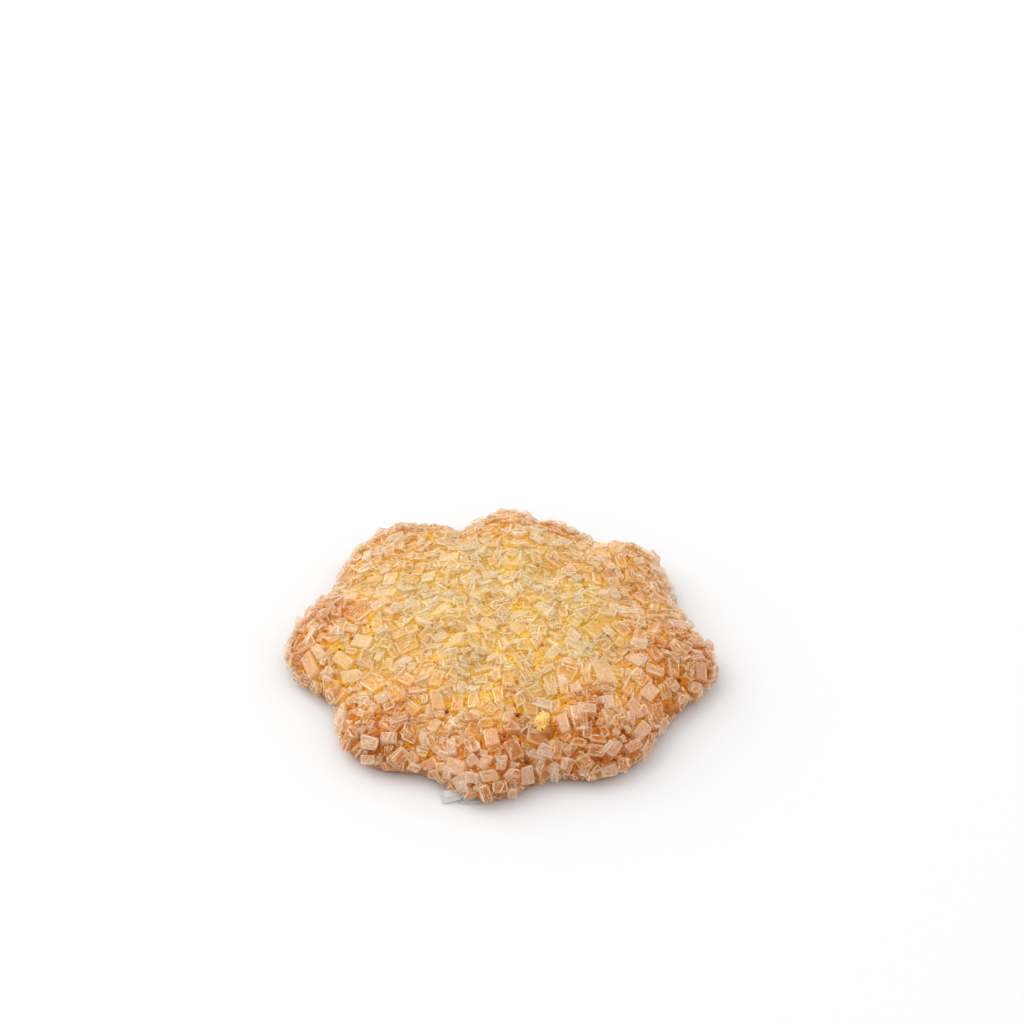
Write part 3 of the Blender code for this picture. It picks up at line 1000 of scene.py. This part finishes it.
def dough_material():
    """Baked dough: pale butter yellow in the middle, orange brown at the rim, with a grainy surface."""
    material, nodes = new_material("baked_dough")
    brown = nodes.attribute("browning_and_shade")
    grain = nodes.noise(*CRUST_NOISE)
    spread = nodes.math("MULTIPLY", nodes.math("SUBTRACT", grain, 0.5), GRAIN_SPREAD)
    crust = nodes.ramp(nodes.math("ADD", brown, spread), DOUGH_RAMP)
    foot = nodes.ramp(grain, FOOT_COLOURS)
    crust = nodes.mix(nodes.attribute("foot"), crust, foot)
    burnt = nodes.between(nodes.noise(*BURNT_NOISE), *SPECK_BAND)
    burnt = nodes.math("MULTIPLY", nodes.math("MULTIPLY", burnt, brown), SPECK_SHARE)
    colour = nodes.mix(burnt, crust, nodes.ramp(grain, SPECK_COLOURS))
    nodes.link(colour, nodes.shader.inputs["Base Color"])
    nodes.shader.inputs["Roughness"].default_value = DOUGH_ROUGHNESS
    nodes.shader.inputs["Specular IOR Level"].default_value = DOUGH_SHINE
    nodes.shader.inputs["Subsurface Weight"].default_value = SUBSURFACE
    nodes.shader.inputs["Subsurface Radius"].default_value = SUBSURFACE_RADIUS
    nodes.shader.inputs["Subsurface Scale"].default_value = SUBSURFACE_SCALE
    nodes.bump(nodes.noise(*BUMP_NOISE), DOUGH_BUMP)
    return material


def finish_sugar(nodes, colour, finish, streak):
    """Half see-through sugar of this colour, whose streaks lift its surface a little."""
    alpha, transmission, roughness = finish
    nodes.link(colour, nodes.shader.inputs["Base Color"])
    nodes.shader.inputs["Alpha"].default_value = alpha
    nodes.shader.inputs["Roughness"].default_value = roughness
    nodes.shader.inputs["IOR"].default_value = SUGAR_IOR
    nodes.shader.inputs["Transmission Weight"].default_value = transmission
    nodes.bump(streak, SUGAR_BUMP)


def sugar_material(name, colours, finish, pale_colours=PALE_RAMP):
    """Coarse sugar: clear to milky, tinted by the crust that it lies in, with pale streaks inside."""
    material, nodes = new_material(name)
    brown = nodes.attribute("browning_and_shade")
    shade = nodes.math("MULTIPLY", nodes.math("SUBTRACT", nodes.attribute("shade"), 0.5), SHADE_SPREAD)
    place = nodes.math("ADD", brown, shade)
    inside = nodes.add("ShaderNodeAttribute", attribute_name="inside").outputs["Vector"]
    streak = nodes.noise(*STREAK_NOISE, inside)
    streaks = nodes.math("MULTIPLY", nodes.between(streak, *STREAK_BAND), STREAK_STRENGTH)
    # Pale rims towards the edges, broken up by noise, are painted highlights.
    highlight_breaks = nodes.between(nodes.noise(*HIGHLIGHT_BREAK_NOISE, inside), *RIM_HIGHLIGHT_BREAKS)
    rim = nodes.math("MULTIPLY", nodes.math("MULTIPLY", nodes.rim(*RIM_HIGHLIGHT_BAND), highlight_breaks), RIM_HIGHLIGHT_STRENGTH)
    milk = nodes.math("MULTIPLY", nodes.attribute("milk"), MILK_STRENGTH)
    pale = nodes.math("MAXIMUM", nodes.math("MAXIMUM", streaks, rim), milk)
    grain = nodes.math("SUBTRACT", nodes.noise(SUGAR_GRAIN[0]), 0.5)
    pale = nodes.math("ADD", pale, nodes.math("MULTIPLY", grain, SUGAR_GRAIN[1]))
    colour = nodes.mix(pale, nodes.ramp(place, colours), nodes.ramp(place, pale_colours))
    finish_sugar(nodes, colour, finish, streak)
    return material


def mottled_material(name, colours, mottle):
    """Two colours in small patches, with a fine uneven surface."""
    scale, roughness = mottle
    material, nodes = new_material(name)
    patches = nodes.noise(scale, *MOTTLE_DETAIL)
    nodes.link(nodes.ramp(patches, colours), nodes.shader.inputs["Base Color"])
    nodes.shader.inputs["Roughness"].default_value = roughness
    nodes.shader.inputs["Specular IOR Level"].default_value = MOTTLE_SHINE
    nodes.bump(patches, MOTTLE_BUMP)
    return material


def clear_material(name, colours, finish):
    """The stray crystals' clear sugar, with faint streaks along it."""
    material, nodes = new_material(name)
    inside = nodes.add("ShaderNodeAttribute", attribute_name="inside").outputs["Vector"]
    streak = nodes.noise(*STREAK_NOISE, inside)
    finish_sugar(nodes, nodes.ramp(streak, colours), finish, streak)
    return material


def floor_material():
    """A plain pale floor."""
    material, nodes = new_material("floor")
    nodes.shader.inputs["Base Color"].default_value = (*FLOOR_COLOUR, 1.0)
    nodes.shader.inputs["Roughness"].default_value = FLOOR_ROUGHNESS
    nodes.shader.inputs["Specular IOR Level"].default_value = FLOOR_SHINE
    return material


def floor_object():
    """The floor under the cookie."""
    bpy.ops.mesh.primitive_plane_add(size=FLOOR_SIZE, location=(0.0, 0.0, 0.0))
    floor = bpy.context.object
    floor.name = "floor"
    floor.data.materials.append(floor_material())


def area_light(name, place, target, size, power, colour):
    """A soft square light that looks at a point."""
    data = bpy.data.lights.new(name, "AREA")
    data.shape = "SQUARE"
    data.size = size
    data.energy = power
    data.color = colour
    light = bpy.data.objects.new(name, data)
    light.location = place
    light.rotation_euler = (Vector(target) - Vector(place)).to_track_quat("-Z", "Y").to_euler()
    bpy.context.scene.collection.objects.link(light)


def studio():
    """A white room, a soft key light from the back left, and the camera."""
    world = bpy.data.worlds.new("studio")
    world.use_nodes = True
    world.node_tree.nodes["Background"].inputs["Color"].default_value = (1.0, 1.0, 1.0, 1.0)
    world.node_tree.nodes["Background"].inputs["Strength"].default_value = WORLD_STRENGTH
    bpy.context.scene.world = world
    area_light("key", KEY_PLACE, KEY_TARGET, KEY_SIZE, KEY_POWER, KEY_COLOUR)
    bpy.context.scene.view_settings.view_transform = "Standard"
    camera = bpy.data.objects.new("camera", bpy.data.cameras.new("camera"))
    camera.location = CAMERA_PLACE
    camera.rotation_euler = (CAMERA_PITCH, 0.0, 0.0)
    camera.data.lens = CAMERA_LENS
    camera.data.sensor_width = CAMERA_SENSOR
    camera.data.clip_start = CAMERA_NEAR
    bpy.context.scene.collection.objects.link(camera)
    bpy.context.scene.camera = camera


def stray_piece():
    """The clear crystals that lie at the foot of the front lobe."""
    sizes, places, turns = zip(*STRAYS)
    turned = [np.array(Matrix.Rotation(turn, 3, "Z")) for turn in np.radians(turns)]
    strays = [np.array(sizes), np.array(places), np.array(turned)]
    clear = clear_material("clear_sugar", CLEAR_COLOURS, CLEAR_FINISH)
    # The rounded edges are painted grey, as shade.
    clear_edge_shade = clear_material("clear_edge_shade", CLEAR_EDGE_SHADE_COLOURS, CLEAR_EDGE_FINISH)
    return crystal_piece("stray_crystals", strays, STRAY_ROUNDING, STRAY_SEED, [clear, clear_edge_shade] * 2)


def hold_places(known, *all_seats):
    """Takes the seats of the listed crystals, the specks and the brown flecks, one of them a painted shadow.
    """
    for seats in all_seats:
        for size, centre, axes in zip(*known):
            seats.take(two_discs(size, centre, axes), size[1] / 2.0 * LARGE.spacing)
        for bearing, along, width in SPECKS + FLECKS_AND_CRUMB_SHADOW:
            seats.take([skin(np.radians(bearing), np.array(along))], width * SPECK_ROOM)


def main():
    """Makes the materials and every piece, then the floor, the light and the camera."""
    dough = dough_material()
    face = sugar_material("sugar_face", FACE_RAMP, FACE_FINISH)
    # The rounded edges are painted paler, as highlights.
    edge = sugar_material("sugar_edge_highlight", EDGE_HIGHLIGHT_RAMP, EDGE_FINISH)
    milky = sugar_material("sugar_milky", FACE_RAMP, MILKY_FINISH)
    # Painted glints, on some rounded edges and on the growth lines.
    glint = sugar_material("sugar_glint", PALE_RAMP, GLINT_FINISH)
    white = sugar_material("sugar_white", FACE_RAMP, WHITE_FINISH)
    # Whiter faces for the bright crystals, partly painted highlights.
    pale_and_glint = sugar_material("sugar_pale_and_glint", FACE_RAMP, PALE_AND_GLINT_FINISH, PALE_AND_GLINT_RAMP)
    sugar = [face, edge, milky, glint]
    standing_out = [face, edge, white, glint]
    glinting = [face, edge, pale_and_glint, glint]

    pieces = [dough_piece(dough)]
    known, milk = listed_crystals(KNOWN_CRYSTALS, KNOWN_THICKNESS, KNOWN_EMBEDDED)
    seats, loose_seats = Seats(SEAT_ROOM), Seats(SEAT_ROOM)
    hold_places(known, seats, loose_seats)
    pieces.append(
        crystal_piece("known_crystals", known, LARGE.rounding, KNOWN_SEED, standing_out, milk, KNOWN_WEAR)
    )
    batches = [known]
    for kind in (LARGE, *FILLERS):
        batches.append(crystals(kind, seats))
        pieces.append(crystal_piece(kind.name, batches[-1], kind.rounding, kind.seed, sugar))
    cube = (CORNERS, CUBE_FACES)
    pieces.append(grain_piece("sugar_grains", SUGAR_GRAINS, cube, seats, SUGAR_GRAIN_SUNK, edge, False))
    pieces.append(grain_piece("dough_grains", DOUGH_GRAINS, pebble(), seats, DOUGH_GRAIN_SUNK, dough, True))
    for kind in (EDGE, LOOSE):
        batches.append(crystals(kind, loose_seats))
        pieces.append(crystal_piece(kind.name, batches[-1], kind.rounding, kind.seed, sugar))
    pieces.append(line_piece(GLINTING_GROWTH_LINES, batches, glint))
    pieces.append(stray_piece())
    accents, milk = listed_crystals(ACCENTS, ACCENT_THICKNESS, ACCENT_EMBEDDED)
    pieces.append(
        crystal_piece("accent_crystals", accents, LARGE.rounding, ACCENT_SEED, glinting, milk, KNOWN_WEAR)
    )
    pieces.append(crumb_piece(mottled_material("yellow_crumb", CRUMB_COLOURS, CRUMB_MOTTLE)))
    burnt = mottled_material("burnt_speck", SPECK_COLOURS, SPECK_MOTTLE)
    pieces.append(speck_piece("dough_specks", SPECKS, SPECK_SUNK, SPECK_RELIEF, burnt))
    # Brown flecks; the one below the crumb is a painted shadow of the crumb.
    brown = mottled_material("brown_fleck_and_shadow", FLECK_AND_SHADOW_COLOURS, FLECK_MOTTLE)
    pieces.append(speck_piece("brown_flecks_and_crumb_shadow", FLECKS_AND_CRUMB_SHADOW, FLECK_SUNK, FLECK_RELIEF, brown))
    for piece in pieces:
        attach(piece, "root")
        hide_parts("cookie")
    floor_object()
    studio()


main()
